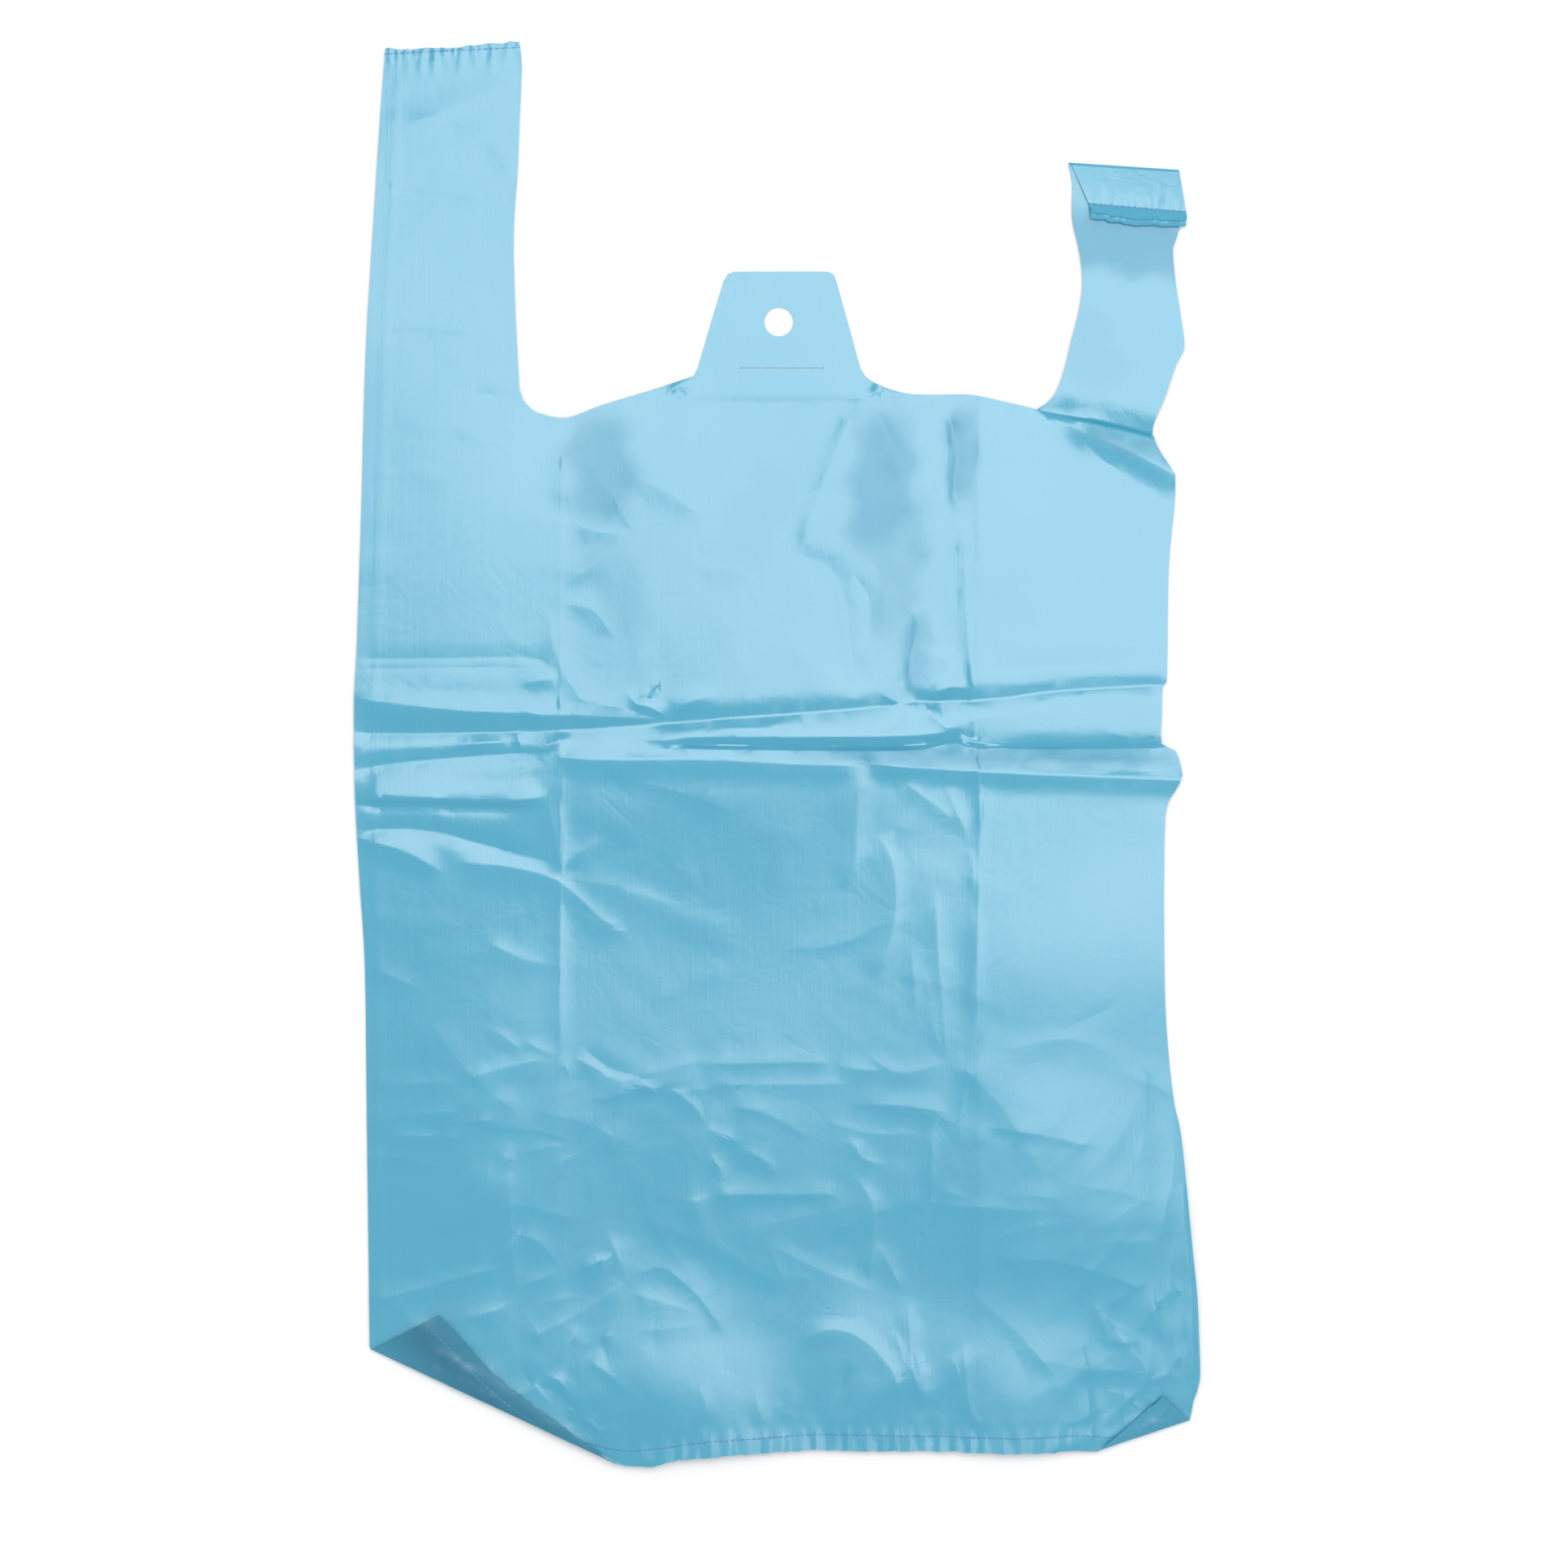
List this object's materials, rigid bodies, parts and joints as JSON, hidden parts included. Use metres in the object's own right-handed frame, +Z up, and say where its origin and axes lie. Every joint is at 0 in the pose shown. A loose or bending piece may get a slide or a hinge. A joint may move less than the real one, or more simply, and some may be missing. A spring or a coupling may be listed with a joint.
{
  "type": "plastic carrier bag",
  "caption": "Light blue thin-film carrier bag lying flat, with side gussets, two welded loop handles and a hanging tab with a round hole and a tear-off slit.",
  "frame": {"origin": "centre of the bag's outline as it lies, on the plane that it lies on", "axes": "+X across the bag, +Y along it from the hem to the handles, +Z up from the surface that it lies on"},
  "size_m": [0.2914, 0.491, 0.0056],
  "materials": {
    "film": "satin"
  },
  "bodies": {
    "root": {"carrier_bag": "film"}
  },
  "joints": []
}
